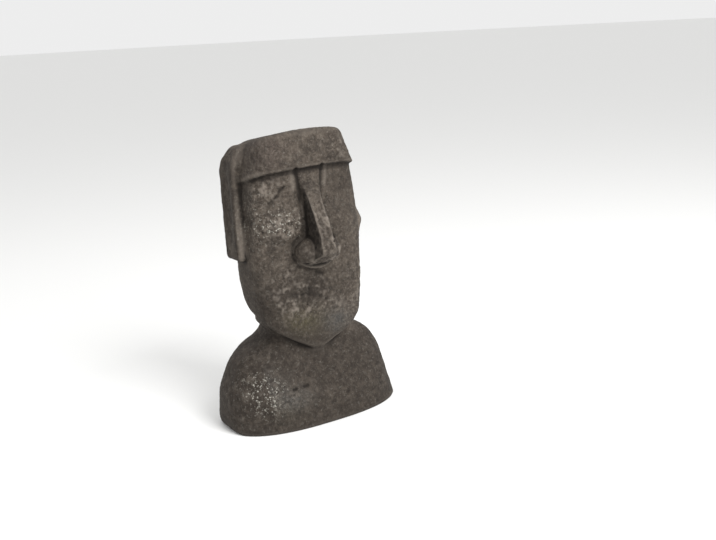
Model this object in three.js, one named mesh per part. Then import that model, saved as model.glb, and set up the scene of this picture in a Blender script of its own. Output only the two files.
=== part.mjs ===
// A moai bust cast in one piece of stone: a long head with a heavy brow, a projecting nose and
// hanging ears, close above a low broad chest that stands on its flat underside.
// Millimetres, +Z up, the face looks towards -Y, the underside lies on z = 0.
import * as THREE from 'three';
import { mergeVertices } from 'three/addons/utils/BufferGeometryUtils.js';

// ---- driving sizes ---------------------------------------------------------------------------

const HEIGHT = 400;
const FOOT_ROUND = 5;

// Profiles up the body, each a list of [height, value] stations joined by a smooth curve. They are
// drawn slightly over size, and the finished casting is scaled to the height above.
const CHEST_LEFT = [
  [0, 133], [12, 133], [30, 131], [48, 129], [66, 122], [84, 113], [101, 97], [112, 73], [120, 62],
  [128, 57], [138, 64],
];
const CHEST_RIGHT = [
  [0, 137], [19, 131], [38, 125], [56, 121], [75, 117], [94, 107], [107, 95], [120, 75], [130, 62],
];
const CHEST_FRONT = [[0, 71], [40, 69], [68, 56], [92, 42], [111, 35]];
const CHEST_BACK = [[0, 69], [41, 71], [74, 71], [99, 66], [154, 54]];
const CHEST_SQUARENESS = [2.45, 2.75];
const CHEST_TOP = 165;
const WORN_CORNER = { across: 0.8, up: 0.6, reach: 101 };

const HEAD_LEFT = [
  [90, 45], [103, 54], [123, 66], [149, 75], [185, 83], [217, 86], [250, 86], [340, 79], [401, 68],
];
const HEAD_RIGHT = [[90, 50], [103, 59], [123, 71], [149, 80], [185, 85], [250, 86.5], [340, 79], [401, 68]];
const HEAD_FRONT = [[90, 39], [101, 43], [115, 47], [139, 49], [165, 48], [205, 47], [270, 45], [340, 42]];
const HEAD_BACK = [[90, 40], [123, 44], [150, 50], [226, 58], [340, 63], [401, 52]];
const HEAD_SQUARENESS = [4.2, 2.7];
const CHIN_HEIGHT = 102;
const CHIN_HALF_WIDTH = 8;
const JAW = { rise: 0.53, tilt: 0.05, undercut: 0.24, steepness: 0.85 };
const CHEEK = { across: 39, forward: 31, height: 278, halfWidth: 35, halfDepth: 19.5, halfHeight: 35 };
const SOCKET = { across: 43, forward: 64, height: 327, halfWidth: 35, halfDepth: 22.5, halfHeight: 20 };
const TEMPLE = { across: 90, forward: 19, height: 297, halfWidth: 8.5, halfDepth: 15, halfHeight: 58 };

const BROW = { height: 354.5, tilt: 0.02, span: 71, drop: 2, fall: 0.28, front: 46, round: 7 };
const BAND_HALF_WIDTH = [[334, 82], [347, 80.5], [360, 75], [372, 71], [401, 58.5]];
const BAND_FRONT = [[334, 48], [360, 48], [401, 41]];
const BAND_SQUARENESS = [5.5, 2.7];
const CROWN = { top: 405, tilt: 0.03, dome: 7, span: 75, slope: 0.16 };
const CROWN_SHOULDER = { across: 0.823, up: 0.568, reach: 280 };

const EAR = { thickness: 30, depth: 43, height: 157, middle: 311.5, round: 6 };
const EAR_BLEND = { low: 4, top: 14, from: 350, over: 35 };
const EAR_OUTER = { top: 91.5, lobe: 97, from: 340, over: 80 };
const EAR_FORWARD = { top: 23, lobe: 9, from: 350, over: 115 };
const EAR_HOLLOW = { reach: 4, width: 11, height: 52, middle: 308, inset: 1 };
const KNOB = { rise: 6, height: 264, spread: 13 };

const NOSE_RIDGE = [
  [220, 88], [243, 90], [265, 86], [278, 80], [290, 72], [302, 65], [315, 58], [340, 46], [360, 41],
];
const NOSE_RIDGE_HALF_WIDTH = [[220, 12.5], [257, 12], [308, 10.5], [360, 10.5]];
const NOSE_ROOT_HALF_WIDTH = [
  [220, 25], [243, 22], [258, 14], [272, 11.5], [290, 12], [310, 14], [324, 17.5], [347, 22], [360, 24],
];
const NOSE_BASE = 43;
const NOSE_LEAST = 6;
const NOSE_TOP = 5;
const NOSE_LEAN = { wall: 0.9, underside: 0.8 };
const NOSE_BURIED = 30;
const NOSE_UNDERSIDE = { height: 226.5, slope: 0.6, from: 62 };
const WING = { across: 15, forward: 56, height: 243, halfWidth: 18, halfDepth: 18.5, halfHeight: 17.5 };
const WING_UNDERSIDE = 231;

const SILL = { height: 221.5, forward: 46, halfWidth: 27, halfDepth: 12, halfHeight: 3, round: 2.5 };
const SILL_CURL = 0.014;
const LIPS = { across: 0, forward: 36, height: 179, halfWidth: 50, halfDepth: 15.5, halfHeight: 15 };

// How softly each mass runs into the next, as the size of the fillet between them.
const FILLET = {
  chestTop: 20, wornCorner: 8, jaw: 14, cheek: 10, socket: 8, temple: 6, band: 3, earHollow: 6,
  noseEdge: 5, noseRoot: 4, wing: 6, crown: 16, crownShoulder: 14, nose: 8, mouth: 4, neck: 16,
};

// The facets: columns around the body, rows from the crown to the underside.
const COLUMNS = 80;
const ROWS = 62;
const CROWN_ROWS = 11;
const CHEST_ROWS = 13;
const CROWN_CENTRE = 325;
const SETTLING_STEPS = 120;
const FRONT_CROWDING = 0.42;
const FACE_CROWDING = 1.2;
const NOSE_CROWDING = 1.6;
const BROW_CROWDING = 1.8;

// ---- shaping functions -----------------------------------------------------------------------

const clamp = THREE.MathUtils.clamp;
const smoothStep = (t) => THREE.MathUtils.smoothstep(t, 0, 1);
const length = (x, y, z) => Math.sqrt(x * x + y * y + z * z);

// A smooth curve through [height, value] stations that never overshoots them.
function profile(stations) {
  const last = stations.length - 1;
  const rise = [];
  for (let i = 0; i < last; i += 1) {
    rise.push((stations[i + 1][1] - stations[i][1]) / (stations[i + 1][0] - stations[i][0]));
  }
  const slope = stations.map((_, i) => {
    if (i === 0 || i === last) {
      return rise[Math.min(i, last - 1)];
    }
    const before = rise[i - 1];
    const after = rise[i];
    return before * after > 0 ? (2 * before * after) / (before + after) : 0;
  });
  return (height) => {
    const z = clamp(height, stations[0][0], stations[last][0]);
    let i = 0;
    while (i < last - 1 && z > stations[i + 1][0]) {
      i += 1;
    }
    const span = stations[i + 1][0] - stations[i][0];
    const t = (z - stations[i][0]) / span;
    const u = 1 - t;
    const ends = (1 + 2 * t) * u * u * stations[i][1] + t * t * (3 - 2 * t) * stations[i + 1][1];
    return ends + span * t * u * (u * slope[i] - t * slope[i + 1]);
  };
}

// Union and intersection of two distances, with a fillet of about the given size.
function join(a, b, fillet) {
  const h = Math.max(fillet - Math.abs(a - b), 0) / fillet;
  return Math.min(a, b) - (h * h * h * fillet) / 6;
}

const trim = (a, b, fillet) => -join(-a, -b, fillet);

// Distance to an upright column with a rounded-square plan. Each pair gives its half-width left and
// right, its depth front and back, and how square it is front and back.
function column(x, y, [left, right], [front, back], [squareFront, squareBack]) {
  const halfWidth = x < 0 ? left : right;
  const depth = y < 0 ? front : back;
  const n = y < 0 ? squareFront : squareBack;
  const q = ((Math.abs(x) / halfWidth) ** n + (Math.abs(y) / depth) ** n) ** (1 / n);
  return Math.sqrt(x * x + y * y) * (1 - 1 / Math.max(q, 1e-6));
}

function roundedBox(x, y, z, hx, hy, hz, round) {
  const qx = Math.abs(x) - hx + round;
  const qy = Math.abs(y) - hy + round;
  const qz = Math.abs(z) - hz + round;
  const outside = length(Math.max(qx, 0), Math.max(qy, 0), Math.max(qz, 0));
  return outside + Math.min(Math.max(qx, qy, qz), 0) - round;
}

function ellipsoid(x, y, z, a, b, c) {
  const k0 = length(x / a, y / b, z / c);
  const k1 = length(x / (a * a), y / (b * b), z / (c * c));
  return (k0 * (k0 - 1)) / Math.max(k1, 1e-9);
}

// ---- the features ----------------------------------------------------------------------------

const chestLeft = profile(CHEST_LEFT);
const chestRight = profile(CHEST_RIGHT);
const chestFront = profile(CHEST_FRONT);
const chestBack = profile(CHEST_BACK);
const headLeft = profile(HEAD_LEFT);
const headRight = profile(HEAD_RIGHT);
const headFront = profile(HEAD_FRONT);
const headBack = profile(HEAD_BACK);
const bandHalfWidth = profile(BAND_HALF_WIDTH);
const bandFront = profile(BAND_FRONT);
const noseRidge = profile(NOSE_RIDGE);
const noseRidgeHalfWidth = profile(NOSE_RIDGE_HALF_WIDTH);
const noseRootHalfWidth = profile(NOSE_ROOT_HALF_WIDTH);

// A lump, or a pair of lumps where x is given as its distance from the middle.
function lump(x, y, z, size) {
  return ellipsoid(x - size.across, y + size.forward, z - size.height,
    size.halfWidth, size.halfDepth, size.halfHeight);
}

// A low broad chest, with one bottom corner worn away.
function chest(x, y, z) {
  const widths = [chestLeft(z), chestRight(z)];
  const depths = [chestFront(z), chestBack(z)];
  const body = trim(column(x, y, widths, depths, CHEST_SQUARENESS), z - CHEST_TOP, FILLET.chestTop);
  const worn = -WORN_CORNER.across * x - WORN_CORNER.up * z - WORN_CORNER.reach;
  return trim(body, worn, FILLET.wornCorner);
}

// The long block of the head, its jaw rising from the chin to the corners, its cheeks swelling below
// shallow sockets, and a hollow in each temple in front of the ear.
function skull(x, y, z) {
  const ax = Math.abs(x);
  const widths = [headLeft(z), headRight(z)];
  const block = column(x, y, widths, [headFront(z), headBack(z)], HEAD_SQUARENESS);
  const backOfChin = Math.max(y + headFront(CHIN_HEIGHT), 0);
  const outside = Math.max(ax - CHIN_HALF_WIDTH, 0);
  const jaw = CHIN_HEIGHT + JAW.rise * outside - JAW.tilt * x + JAW.undercut * backOfChin;
  const jawed = trim(block, (jaw - z) * JAW.steepness, FILLET.jaw);
  const cheeked = join(jawed, lump(ax, y, z, CHEEK), FILLET.cheek);
  const socketed = trim(cheeked, -lump(ax, y, z, SOCKET), FILLET.socket);
  return trim(socketed, -lump(ax, y, z, TEMPLE), FILLET.temple);
}

// Height of the forehead's lower edge: it drops towards the temples and falls away behind them.
function browLine(x, y) {
  const arch = BROW.height + BROW.tilt * x - BROW.drop * (Math.abs(x) / BROW.span) ** 3;
  return arch - BROW.fall * Math.max(y + BROW.front, 0);
}

// The forehead stands a little proud of the face, down to that edge.
function forehead(x, y, z) {
  const width = bandHalfWidth(z);
  const band = column(x, y, [width, width], [bandFront(z), headBack(z) + 1], BAND_SQUARENESS);
  return trim(band, browLine(x, y) - z, BROW.round);
}

// An ear is an upright slab that splays out to its lobe, with a shallow hollow in its side. The
// right one also has a low knob.
function ear(x, y, z) {
  const splay = smoothStep((EAR_OUTER.from - z) / EAR_OUTER.over);
  const knob = x > 0 ? KNOB.rise * Math.exp(-(((z - KNOB.height) / KNOB.spread) ** 2)) : 0;
  const outer = EAR_OUTER.top + (EAR_OUTER.lobe - EAR_OUTER.top) * splay + knob;
  const swing = smoothStep((EAR_FORWARD.from - z) / EAR_FORWARD.over);
  const centre = EAR_FORWARD.top + (EAR_FORWARD.lobe - EAR_FORWARD.top) * swing;
  const ax = Math.abs(x);
  const slab = roundedBox(ax - outer + EAR.thickness / 2, y - centre, z - EAR.middle,
    EAR.thickness / 2, EAR.depth / 2, EAR.height / 2, EAR.round);
  const { reach, width, height, middle, inset } = EAR_HOLLOW;
  const hollow = ellipsoid(ax - outer - inset, y - centre - inset, z - middle, reach, width, height);
  return trim(slab, -hollow, FILLET.earHollow);
}

// The nose is a plank whose flat ridge swings out to the tip, with a round wing on each side.
function nose(x, y, z) {
  const ax = Math.abs(x);
  const ridge = noseRidge(z);
  const root = noseRootHalfWidth(z);
  const out = clamp((-y - NOSE_BASE) / Math.max(ridge - NOSE_BASE, NOSE_LEAST), 0, 1);
  const wall = ax - (root + (noseRidgeHalfWidth(z) - root) * out);
  let plank = trim(wall * NOSE_LEAN.wall, -y - ridge, FILLET.noseEdge);
  const underside = NOSE_UNDERSIDE.height + NOSE_UNDERSIDE.slope * Math.max(-y - NOSE_UNDERSIDE.from, 0);
  plank = trim(plank, (underside - z) * NOSE_LEAN.underside, FILLET.noseEdge);
  plank = trim(plank, z - BROW.height - NOSE_TOP, FILLET.noseRoot);
  plank = trim(plank, y + NOSE_BURIED, FILLET.noseRoot);
  const wing = trim(lump(ax, y, z, WING), WING_UNDERSIDE - z, FILLET.noseRoot);
  return join(plank, wing, FILLET.wing);
}

// A thin sill curls up under the wings, and a low wide swelling holds the mouth.
function mouth(x, y, z) {
  const sill = roundedBox(x, y + SILL.forward, z - SILL.height - SILL_CURL * x * x,
    SILL.halfWidth, SILL.halfDepth, SILL.halfHeight, SILL.round);
  return Math.min(sill, lump(x, y, z, LIPS));
}

// Signed distance, about, from the whole casting before its underside is cut flat.
function casting(x, y, z) {
  let head = join(skull(x, y, z), forehead(x, y, z), FILLET.band);
  const rise = smoothStep((z - EAR_BLEND.from) / EAR_BLEND.over);
  head = join(head, ear(x, y, z), EAR_BLEND.low + (EAR_BLEND.top - EAR_BLEND.low) * rise);
  const dome = CROWN.tilt * x - CROWN.dome * (x / CROWN.span) ** 2;
  const crown = CROWN.top + dome - CROWN.slope * (y + headFront(z));
  head = trim(head, z - crown, FILLET.crown);
  const shoulder = CROWN_SHOULDER.across * Math.abs(x) + CROWN_SHOULDER.up * z - CROWN_SHOULDER.reach;
  head = trim(head, shoulder, FILLET.crownShoulder);
  head = join(head, nose(x, y, z), FILLET.nose);
  head = join(head, mouth(x, y, z), FILLET.mouth);
  return join(chest(x, y, z), head, FILLET.neck);
}

const standing = (x, y, z) => trim(casting(x, y, z), -z, FOOT_ROUND);

// ---- the faceted skin ------------------------------------------------------------------------

const STEP = 0.4;
const SETTLE = { turns: 3, leastSlope: 0.05, longest: 4 };
const RAY = { start: 220, turns: 80, caution: 0.6 };
const PULL = 0.7;

// Moves a point along the distance's slope until it lies on the surface.
function settle(p, distance, flat) {
  for (let turn = 0; turn < SETTLE.turns; turn += 1) {
    const d = distance(p.x, p.y, p.z);
    const gx = distance(p.x + STEP, p.y, p.z) - d;
    const gy = distance(p.x, p.y + STEP, p.z) - d;
    const gz = flat ? 0 : distance(p.x, p.y, p.z + STEP) - d;
    const slope2 = Math.max((gx * gx + gy * gy + gz * gz) / (STEP * STEP), SETTLE.leastSlope);
    const move = clamp(d / slope2, -SETTLE.longest, SETTLE.longest) / STEP;
    p.set(p.x - gx * move, p.y - gy * move, p.z - gz * move);
  }
}

// Comes in along a ray from outside until it meets the surface.
function castIn(origin, direction) {
  let reach = RAY.start;
  for (let turn = 0; turn < RAY.turns; turn += 1) {
    const p = origin.clone().addScaledVector(direction, reach);
    reach -= RAY.caution * standing(p.x, p.y, p.z);
  }
  return origin.clone().addScaledVector(direction, reach);
}

// Rows lie close together down the face and further apart down the chest.
function startHeight(row, foot) {
  const throat = foot - CHEST_ROWS;
  if (row > throat) {
    return (CHIN_HEIGHT * (foot - row)) / CHEST_ROWS;
  }
  const down = Math.max(row - CROWN_ROWS, 0) / (throat - CROWN_ROWS);
  return THREE.MathUtils.lerp(CROWN_CENTRE, CHIN_HEIGHT, down);
}

// How closely the facets crowd together at a point: most on the nose and brow, least on the chest
// and back.
function crowding(p) {
  const face = smoothStep((-p.y - 20) / 30) * smoothStep((p.z - 80) / 40) * smoothStep((395 - p.z) / 25);
  const tip = smoothStep((-p.y - 48) / 25) * smoothStep((p.z - 180) / 30);
  const brow = smoothStep((-p.y - 5) / 15) * smoothStep(1.6 - Math.abs(p.z - browLine(p.x, p.y)) / 10);
  return 1 + FACE_CROWDING * face + NOSE_CROWDING * tip + BROW_CROWDING * brow;
}

// A sphere's grid of rows and columns, drawn onto the casting and evened out along its surface.
function skin() {
  const geometry = new THREE.SphereGeometry(1, COLUMNS, ROWS);
  const foot = ROWS - 1;
  const rim = (x, y) => casting(x, y, 0) + FOOT_ROUND;
  const grid = [];
  for (let row = 1; row <= foot; row += 1) {
    const ring = [];
    for (let col = 0; col < COLUMNS; col += 1) {
      const even = (2 * Math.PI * col) / COLUMNS;
      const turn = even - FRONT_CROWDING * Math.sin(even);
      const tilt = (Math.PI / 2) * Math.max(1 - row / CROWN_ROWS, 0);
      const origin = new THREE.Vector3(0, 0, startHeight(row, foot));
      const direction = new THREE.Vector3(Math.sin(turn), -Math.cos(turn), 0);
      direction.multiplyScalar(Math.cos(tilt)).setZ(Math.sin(tilt));
      ring.push(castIn(origin, direction));
    }
    grid.push(ring);
  }
  const crown = castIn(new THREE.Vector3(0, 0, CROWN_CENTRE), new THREE.Vector3(0, 0, 1));
  grid.unshift(Array(COLUMNS).fill(crown));

  const around = (col) => (col + COLUMNS) % COLUMNS;
  for (let turn = 0; turn < SETTLING_STEPS; turn += 1) {
    for (let row = 1; row <= foot; row += 1) {
      for (let col = 0; col < COLUMNS; col += 1) {
        const p = grid[row][col];
        const sides = [grid[row][around(col - 1)], grid[row][around(col + 1)]];
        const near = row === foot ? sides : [...sides, grid[row - 1][col], grid[row + 1][col]];
        const mean = new THREE.Vector3();
        let total = 0;
        for (const q of near) {
          const weight = crowding(q) + crowding(p);
          mean.addScaledVector(q, weight);
          total += weight;
        }
        p.lerp(mean.divideScalar(total), PULL);
        if (row === foot) {
          p.setZ(0);
          settle(p, rim, true);
        } else {
          settle(p, standing, false);
        }
      }
    }
    const ring = grid[1];
    crown.copy(ring.reduce((sum, q) => sum.add(q), new THREE.Vector3()).divideScalar(COLUMNS));
    settle(crown, standing, false);
  }
  grid.push(Array(COLUMNS).fill(new THREE.Vector3(0, 0, 0)));

  const position = geometry.attributes.position;
  for (let row = 0; row <= ROWS; row += 1) {
    for (let col = 0; col <= COLUMNS; col += 1) {
      const p = grid[row][col % COLUMNS];
      position.setXYZ(row * (COLUMNS + 1) + col, p.x, p.y, p.z);
    }
  }
  geometry.setIndex(facets(grid));
  geometry.deleteAttribute('normal');
  geometry.deleteAttribute('uv');
  return mergeVertices(geometry, 1e-4);
}

// Two triangles for each cell, split along the diagonal that lies closer to the surface.
function facets(grid) {
  const miss = (a, b) => Math.abs(standing((a.x + b.x) / 2, (a.y + b.y) / 2, (a.z + b.z) / 2));
  const at = (row, col) => grid[row][col % COLUMNS];
  const index = [];
  for (let row = 0; row < ROWS; row += 1) {
    for (let col = 0; col < COLUMNS; col += 1) {
      const a = row * (COLUMNS + 1) + col;
      const b = a + 1;
      const c = a + COLUMNS + 1;
      const d = c + 1;
      if (row === 0) {
        index.push(a, c, d);
      } else if (row === ROWS - 1) {
        index.push(a, c, b);
      } else if (miss(at(row, col), at(row + 1, col + 1)) < miss(at(row, col + 1), at(row + 1, col))) {
        index.push(a, c, d, a, d, b);
      } else {
        index.push(a, c, b, b, c, d);
      }
    }
  }
  return index;
}

const stone = new THREE.MeshStandardMaterial({ color: 0x544e47, roughness: 0.95, metalness: 0 });

const body = skin();
body.computeBoundingBox();
const { min, max } = body.boundingBox;
body.translate(-(min.x + max.x) / 2, -(min.y + max.y) / 2, 0);
body.scale(HEIGHT / max.z, HEIGHT / max.z, HEIGHT / max.z);

const bust = new THREE.Mesh(body, stone);
bust.name = 'moai_bust';

const group = new THREE.Group();
group.add(bust);

export default group;
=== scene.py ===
# %% [markdown]
# # A cast-stone moai bust
# The real object is one casting: a long stylised head on a broad, low chest, poured in a mould
# from a mix of lava stone and cement, rubbed with a dark wash and wiped so that the wash stays in
# the grooves. This notebook dresses its plain faceted solid with the surface that a hand would
# feel: carved lines, pits, lumps, chipped edges and a mottled grey-brown skin.

# %% Load the solid that the surface has to follow
import bpy
import math
from types import SimpleNamespace as Sizes
import numpy as np
from mathutils import Matrix, Vector


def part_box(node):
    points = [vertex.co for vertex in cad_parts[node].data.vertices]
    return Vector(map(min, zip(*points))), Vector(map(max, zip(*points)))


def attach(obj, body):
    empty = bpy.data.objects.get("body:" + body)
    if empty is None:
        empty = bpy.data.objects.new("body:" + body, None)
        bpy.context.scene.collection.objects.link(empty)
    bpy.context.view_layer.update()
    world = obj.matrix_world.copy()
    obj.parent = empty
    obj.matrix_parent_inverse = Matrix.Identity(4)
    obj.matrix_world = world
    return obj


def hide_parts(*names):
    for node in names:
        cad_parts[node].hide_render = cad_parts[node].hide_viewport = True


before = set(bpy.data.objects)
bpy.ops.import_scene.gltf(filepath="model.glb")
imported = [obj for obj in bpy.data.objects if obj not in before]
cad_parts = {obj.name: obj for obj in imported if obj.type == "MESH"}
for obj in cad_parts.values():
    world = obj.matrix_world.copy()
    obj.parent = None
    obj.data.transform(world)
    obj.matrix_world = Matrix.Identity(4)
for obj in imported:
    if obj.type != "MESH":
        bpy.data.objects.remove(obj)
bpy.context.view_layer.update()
LOW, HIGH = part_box("moai_bust")
print("solid, mm:", [round((b - a) * 1000, 1) for a, b in zip(LOW, HIGH)])

# %% [markdown]
# ## Describing a carved form
# A statue could be sculpted by hand in Blender, but then nothing says why a point is where it is.
# Here the form is written as a distance: a function that is negative inside the stone, positive
# outside and zero on its skin. Simple forms are joined and trimmed with a fillet, just as a mould
# maker adds clay and cuts it back. All lengths in these functions are millimetres, the face looks
# towards -Y, and the foot stands on z = 0.

# %% Curves, fillets and the simple forms
def profile(height, stations):
    """A smooth curve through (height, value) stations, flat where they turn.

    Between two stations it is the cubic that meets both with their slopes, and a station's slope
    is the harmonic mean of the rises beside it, so the curve never overshoots."""
    at, value = np.array(stations, float).T
    span = np.diff(at)
    rise = np.diff(value) / span
    turns = rise[:-1] * rise[1:] <= 0
    total = np.where(turns, 1.0, rise[:-1] + rise[1:])
    inner = np.where(turns, 0.0, 2 * rise[:-1] * rise[1:] / total)
    slope = np.concatenate([rise[:1], inner, rise[-1:]])
    z = np.clip(height, at[0], at[-1])
    i = np.clip(np.searchsorted(at, z) - 1, 0, len(span) - 1)
    t = (z - at[i]) / span[i]
    u = 1 - t
    ends = (1 + 2 * t) * u * u * value[i] + t * t * (3 - 2 * t) * value[i + 1]
    return ends + span[i] * t * u * (u * slope[i] - t * slope[i + 1])


def ease(t):
    """Goes from 0 to 1 as t does, level at both ends: 3t^2 - 2t^3."""
    t = np.clip(t, 0, 1)
    return t * t * (3 - 2 * t)


def rising(value, start, over):
    """0 up to a start, then eased up to 1 over a length: ease of (value - start) / over."""
    return ease((value - start) / over)


def falling(value, end, over):
    """1 until a length before an end, then eased down to 0 at it: ease of (end - value) / over."""
    return ease((end - value) / over)


def join(a, b, fillet):
    """The nearer of two distances, dipping by up to a sixth of the fillet where they are equal."""
    h = np.maximum(fillet - np.abs(a - b), 0) / fillet
    return np.minimum(a, b) - h**3 * fillet / 6


def trim(a, b, fillet):
    """The further of two distances: what is inside both, with its edge rounded."""
    return -join(-a, -b, fillet)


def column(x, y, half_widths, depths, squareness):
    """Distance to a column with a superellipse plan, |x/w|^n + |y/d|^n = 1, where w is the left or
    the right half-width, d the front or the back depth, and n the front's or the back's squareness."""
    half_width = np.where(x < 0, *half_widths)
    depth = np.where(y < 0, *depths)
    n = np.where(y < 0, *squareness)
    q = ((np.abs(x) / half_width) ** n + (np.abs(y) / depth) ** n) ** (1 / n)
    return np.sqrt(x * x + y * y) * (1 - 1 / np.maximum(q, 1e-6))


def ellipsoid(x, y, z, a, b, c):
    """Distance, nearly, to an ellipsoid with half-axes a, b and c, centred where x, y, z are zero."""
    k0 = np.sqrt((x / a) ** 2 + (y / b) ** 2 + (z / c) ** 2)
    k1 = np.sqrt((x / a**2) ** 2 + (y / b**2) ** 2 + (z / c**2) ** 2)
    return k0 * (k0 - 1) / np.maximum(k1, 1e-9)


def lump(x, y, z, centre, half):
    """An ellipsoid about a centre, or a pair of them where x is the distance from the middle."""
    return ellipsoid(x - centre[0], y - centre[1], z - centre[2], *half)


def rounded_box(x, y, z, half, round_):
    """Distance to a box with rounded edges: length of what sticks out of the inner box, less the round."""
    qx, qy, qz = (np.abs(v) - h + round_ for v, h in zip((x, y, z), half))
    outside = np.sqrt(np.maximum(qx, 0) ** 2 + np.maximum(qy, 0) ** 2 + np.maximum(qz, 0) ** 2)
    return outside + np.minimum(np.maximum(qx, np.maximum(qy, qz)), 0) - round_


def rod(x, y, z, start, end, radius):
    """Distance to a round-ended rod: how far a point is from its nearest point on start to end."""
    sx, sy, sz = start
    dx, dy, dz = (e - s for s, e in zip(start, end))
    along = ((x - sx) * dx + (y - sy) * dy + (z - sz) * dz) / (dx * dx + dy * dy + dz * dz)
    t = np.clip(along, 0, 1)
    return np.sqrt((x - sx - t * dx) ** 2 + (y - sy - t * dy) ** 2 + (z - sz - t * dz) ** 2) - radius


# %% [markdown]
# ## The statue's own sizes
# Nearly the same sizes drive the solid. Each profile lists heights up the body with the width or
# depth there, so the whole head can be read like a row of contour gauges. A lump is given by its
# centre and its half-axes.

# %% Profiles of chest, head, band and nose
CHEST_LEFT = [(0, 133), (12, 133), (30, 131), (48, 129), (66, 122), (84, 113), (101, 97), (112, 73),
              (120, 62), (128, 57), (138, 64)]
CHEST_RIGHT = [(0, 137), (19, 131), (38, 125), (56, 121), (75, 117), (94, 107), (107, 95), (120, 75),
               (130, 62)]
CHEST_FRONT = [(0, 71), (40, 69), (68, 56), (92, 42), (111, 35)]
CHEST_BACK = [(0, 69), (41, 71), (74, 71), (99, 66), (154, 54)]
CHEST_SQUARENESS = 2.45, 2.75
HEAD_LEFT = [(90, 45), (103, 54), (123, 66), (149, 75), (185, 83), (217, 86), (250, 86),
             (340, 79), (401, 68)]
HEAD_RIGHT = [(90, 50), (103, 59), (123, 71), (149, 80), (185, 85), (250, 86.5), (340, 79), (401, 68)]
HEAD_FRONT = [(90, 39), (101, 43), (115, 47), (139, 49), (165, 48), (205, 47), (270, 45), (340, 42)]
HEAD_BACK = [(90, 40), (123, 44), (150, 50), (226, 58), (340, 63), (401, 52)]
HEAD_SQUARENESS = 4.2, 2.7
BAND_HALF_WIDTH = [(334, 82), (347, 80.5), (360, 75), (372, 71), (401, 58.5)]
BAND_FRONT = [(334, 48), (360, 48), (401, 41)]
BAND_SQUARENESS = 5.5, 2.7
NOSE_RIDGE = [(220, 88), (243, 90), (265, 86), (278, 80), (290, 72), (302, 65), (315, 58), (340, 46),
              (360, 41)]
NOSE_RIDGE_HALF_WIDTH = [(220, 12.5), (257, 12), (308, 10.5), (360, 10.5)]
NOSE_ROOT_HALF_WIDTH = [(220, 25), (243, 22), (258, 14), (272, 11.5), (290, 12), (310, 14),
                        (324, 17.5), (347, 22), (360, 24)]
print("head profile from %d to %d mm" % (HEAD_LEFT[0][0], HEAD_LEFT[-1][0]))

# %% Sizes of the masses
FOOT_ROUND = 5
CHEST_TOP = 165
WORN_CORNER = Sizes(across=0.8, up=0.6, reach=101)
CHIN = Sizes(height=102, half_width=8, depth=42.6)
JAW = Sizes(rise=0.53, tilt=0.05, undercut=0.24, steepness=0.85)
CHEEK = (39, -31, 278), (35, 19.5, 35)
SOCKET = (43, -64, 327), (35, 22.5, 20)
TEMPLE = (90, -19, 297), (8.5, 15, 58)
BROW = Sizes(height=354.5, tilt=0.02, drop=2, span=71, fall=0.28, front=46)
BAND_PROUD_BEHIND = 1
CROWN = Sizes(top=405, tilt=0.03, dome=7, span=75, slope=0.16)
CROWN_SHOULDER = Sizes(across=0.823, up=0.568, reach=280)
EAR = Sizes(half=(15, 21.5, 78.5), middle=311.5, round=6)
EAR_OUTER = Sizes(top=91.5, splay=5.5, end=340, over=80)
EAR_FORWARD = Sizes(top=23, swing=14, end=350, over=115)
EAR_HOLLOW = Sizes(inset=1, middle=308, half=(4, 11, 52))
EAR_BLEND = Sizes(low=4, more=10, start=350, over=35)
KNOB = Sizes(rise=6, height=264, spread=13)
NOSE = Sizes(base=43, least=6, top=5, buried=30, wall_lean=0.9, underside_lean=0.8)
NOSE_UNDERSIDE = Sizes(height=226.5, slope=0.6, front=62)
WING = (15, -56, 243), (18, 18.5, 17.5)
WING_UNDERSIDE = 231
SILL = Sizes(forward=46, height=221.5, curl=0.014, half=(27, 12, 3), round=2.5)
LIPS = (0, -36, 179), (50, 15.5, 15)
NOSTRIL = Sizes(inner=(5, -71, 228), outer=(15, -65, 232), radius=2.0)

# %% How softly each mass runs into the next
FILLET = Sizes(chest_top=20, worn_corner=8, jaw=14, cheek=10, socket=8, temple=6, band=3, brow=5,
               ear_hollow=6, nose_edge=5, nose_root=4, wing=6, crown=16, crown_shoulder=14, nose=8,
               mouth=4, neck=16, nostril=2.5)
print("fillets from %g to %g mm" % (min(vars(FILLET).values()), max(vars(FILLET).values())))

# %% [markdown]
# ## The masses
# First the big masses: the chest, the block of the head with its jaw, cheeks and sockets, the
# forehead band that hangs over the face, the ears and the nose.

# %% Chest and head as distances
def chest(x, y, z):
    """A wide column whose width and depth follow the chest profiles, with one worn bottom corner."""
    widths = profile(z, CHEST_LEFT), profile(z, CHEST_RIGHT)
    depths = profile(z, CHEST_FRONT), profile(z, CHEST_BACK)
    body = trim(column(x, y, widths, depths, CHEST_SQUARENESS), z - CHEST_TOP, FILLET.chest_top)
    worn = -WORN_CORNER.across * x - WORN_CORNER.up * z - WORN_CORNER.reach
    return trim(body, worn, FILLET.worn_corner)


def skull(x, y, z):
    """The block cut below along the rising jaw, with cheeks added, then the sockets and the hollows
    in front of the ears taken away."""
    ax = np.abs(x)
    widths = profile(z, HEAD_LEFT), profile(z, HEAD_RIGHT)
    depths = profile(z, HEAD_FRONT), profile(z, HEAD_BACK)
    block = column(x, y, widths, depths, HEAD_SQUARENESS)
    jaw = (CHIN.height + JAW.rise * np.maximum(ax - CHIN.half_width, 0) - JAW.tilt * x
           + JAW.undercut * np.maximum(y + CHIN.depth, 0))
    block = trim(block, (jaw - z) * JAW.steepness, FILLET.jaw)
    cheeked = join(block, lump(ax, y, z, *CHEEK), FILLET.cheek)
    socketed = trim(cheeked, -lump(ax, y, z, *SOCKET), FILLET.socket)
    return trim(socketed, -lump(ax, y, z, *TEMPLE), FILLET.temple)


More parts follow.
